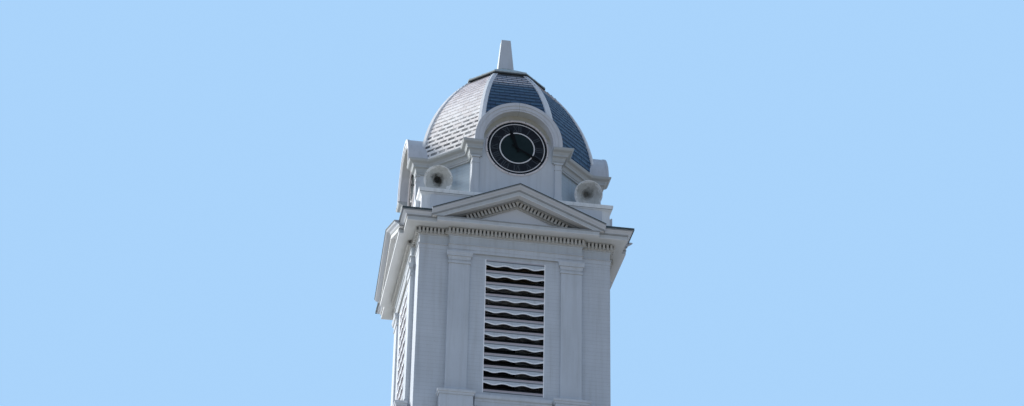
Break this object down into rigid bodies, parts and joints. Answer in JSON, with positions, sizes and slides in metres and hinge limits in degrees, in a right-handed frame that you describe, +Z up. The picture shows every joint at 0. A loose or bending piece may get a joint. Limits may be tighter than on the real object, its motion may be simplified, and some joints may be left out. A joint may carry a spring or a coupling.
{
  "type": "clock tower",
  "caption": "Square white timber clock tower with louvred belfry, pediments, round-hooded clock dormers and a ribbed slate dome with a square finial.",
  "frame": {"origin": "centre of the base at ground level", "axes": "+Z up, -Y towards the front face with the tower square to X and Y"},
  "size_m": [5.678, 5.678, 15.555],
  "materials": {
    "white_paint": "weathered matt white paint on timber",
    "frieze_sheet": "matt white paint on sheet metal with seams",
    "louvre_paint": "grey-white painted boards",
    "floor_boards": "bare boards",
    "stone": "rendered plinth",
    "dial_black": "satin black",
    "dial_white": "matt white",
    "hand_black": "satin black",
    "slate": "natural slate",
    "cap_metal": "weathered sheet metal",
    "horn_metal": "dull spun metal"
  },
  "bodies": {
    "tower": {"ground_plinth": "stone", "base_walls": "white_paint", "string_course": "white_paint", "pedestals": "white_paint", "sill_courses": "white_paint", "front_belfry_wall": "white_paint", "right_belfry_wall": "white_paint", "back_belfry_wall": "white_paint", "left_belfry_wall": "white_paint", "belfry_pilasters": "white_paint", "front_louvres": "louvre_paint", "right_louvres": "louvre_paint", "back_louvres": "louvre_paint", "left_louvres": "louvre_paint", "belfry_floor": "floor_boards", "architrave": "white_paint", "frieze": "frieze_sheet", "dentil_course": "white_paint", "main_cornice": "white_paint", "pediments": "white_paint", "attic_plinth": "white_paint", "clock_room_floor": "floor_boards", "front_clock_wall": "white_paint", "right_clock_wall": "white_paint", "back_clock_wall": "white_paint", "left_clock_wall": "white_paint", "drum_walls": "white_paint", "stage_entablature": "white_paint", "dormer_hoods": "white_paint", "dial_plates": "dial_black", "dial_frames": "white_paint", "dial_rings": "dial_white", "dial_arbors": "dial_black", "slate_dome": "slate", "dome_ribs": "white_paint", "dome_cap": "cap_metal", "finial": "white_paint", "roof_horns": "horn_metal"},
    "front_minute_hand": {"front_minute_hand": "hand_black"},
    "right_minute_hand": {"right_minute_hand": "hand_black"},
    "back_minute_hand": {"back_minute_hand": "hand_black"},
    "left_minute_hand": {"left_minute_hand": "hand_black"},
    "front_hour_hand": {"front_hour_hand": "hand_black"},
    "right_hour_hand": {"right_hour_hand": "hand_black"},
    "back_hour_hand": {"back_hour_hand": "hand_black"},
    "left_hour_hand": {"left_hour_hand": "hand_black"}
  },
  "joints": [
    {"name": "front_minute_spin", "type": "hinge", "parent": "tower", "child": "front_minute_hand", "pos_m": [0, -2.26, 11.04], "axis": [0, 1, 0], "continuous": true},
    {"name": "right_minute_spin", "type": "hinge", "parent": "tower", "child": "right_minute_hand", "pos_m": [2.26, 0, 11.04], "axis": [-1, 0, 0], "continuous": true},
    {"name": "back_minute_spin", "type": "hinge", "parent": "tower", "child": "back_minute_hand", "pos_m": [0, 2.26, 11.04], "axis": [0, -1, 0], "continuous": true},
    {"name": "left_minute_spin", "type": "hinge", "parent": "tower", "child": "left_minute_hand", "pos_m": [-2.26, 0, 11.04], "axis": [1, 0, 0], "continuous": true},
    {"name": "front_hour_spin", "type": "hinge", "parent": "tower", "child": "front_hour_hand", "pos_m": [0, -2.26, 11.04], "axis": [0, 1, 0], "continuous": true},
    {"name": "right_hour_spin", "type": "hinge", "parent": "tower", "child": "right_hour_hand", "pos_m": [2.26, 0, 11.04], "axis": [-1, 0, 0], "continuous": true},
    {"name": "back_hour_spin", "type": "hinge", "parent": "tower", "child": "back_hour_hand", "pos_m": [0, 2.26, 11.04], "axis": [0, -1, 0], "continuous": true},
    {"name": "left_hour_spin", "type": "hinge", "parent": "tower", "child": "left_hour_hand", "pos_m": [-2.26, 0, 11.04], "axis": [1, 0, 0], "continuous": true}
  ],
  "couplings": [
    {"joint": "right_minute_spin", "follows": "front_minute_spin", "ratio": 1},
    {"joint": "back_minute_spin", "follows": "front_minute_spin", "ratio": 1},
    {"joint": "left_minute_spin", "follows": "front_minute_spin", "ratio": 1},
    {"joint": "front_hour_spin", "follows": "front_minute_spin", "ratio": 0.083333},
    {"joint": "right_hour_spin", "follows": "front_minute_spin", "ratio": 0.083333},
    {"joint": "back_hour_spin", "follows": "front_minute_spin", "ratio": 0.083333},
    {"joint": "left_hour_spin", "follows": "front_minute_spin", "ratio": 0.083333}
  ]
}
